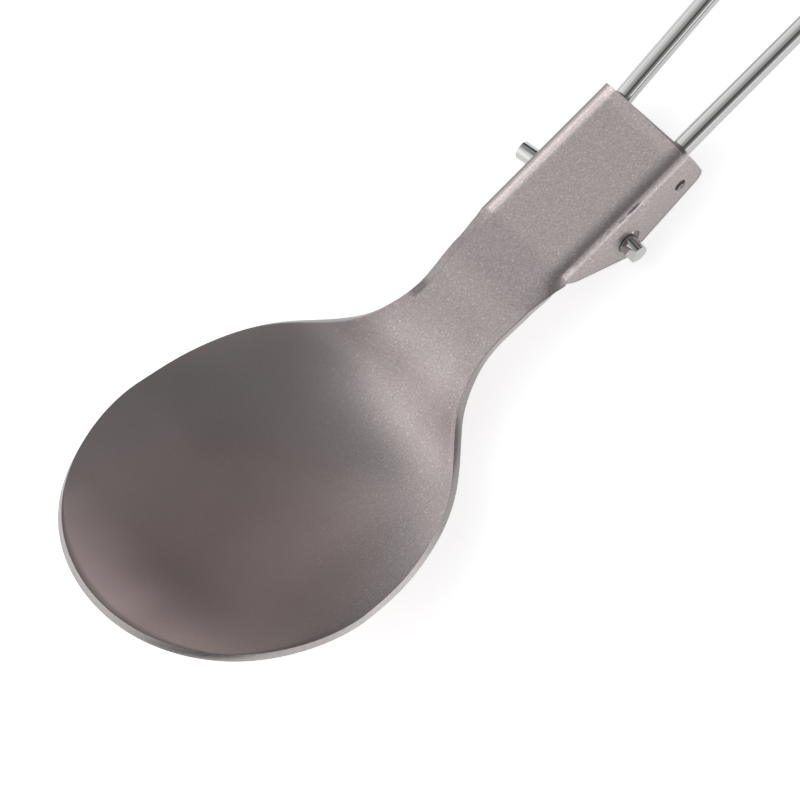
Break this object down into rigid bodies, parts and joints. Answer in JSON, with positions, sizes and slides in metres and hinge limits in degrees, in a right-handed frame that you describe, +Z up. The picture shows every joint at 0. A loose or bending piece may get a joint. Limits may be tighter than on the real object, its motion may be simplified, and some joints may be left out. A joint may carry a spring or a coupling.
{
  "type": "folding spoon",
  "caption": "Folding camping spoon: a stamped metal bowl whose U-shaped hinge channel carries a bent wire loop handle that folds flat under the bowl.",
  "frame": {"origin": "middle of the open spoon's bounding box, on the table it rests on", "axes": "+Z up, +X along the spoon towards the handle's loop, so the bowl points along -X; the spoon is symmetrical about the plane Y = 0 but for the two pin ends and their holes"},
  "size_m": [0.1626, 0.0422, 0.0201],
  "materials": {
    "titanium_sheet": "bead-blasted matte titanium, warm grey",
    "steel_wire": "polished stainless wire"
  },
  "bodies": {
    "blade": {"blade": "titanium_sheet"},
    "handle": {"wire_handle": "steel_wire"}
  },
  "joints": [
    {"name": "handle_hinge", "type": "hinge", "parent": "blade", "child": "handle", "pos_m": [-0.00742, 0, 0.0031], "axis": [0, 1, 0], "range_deg": [0, 180]}
  ]
}
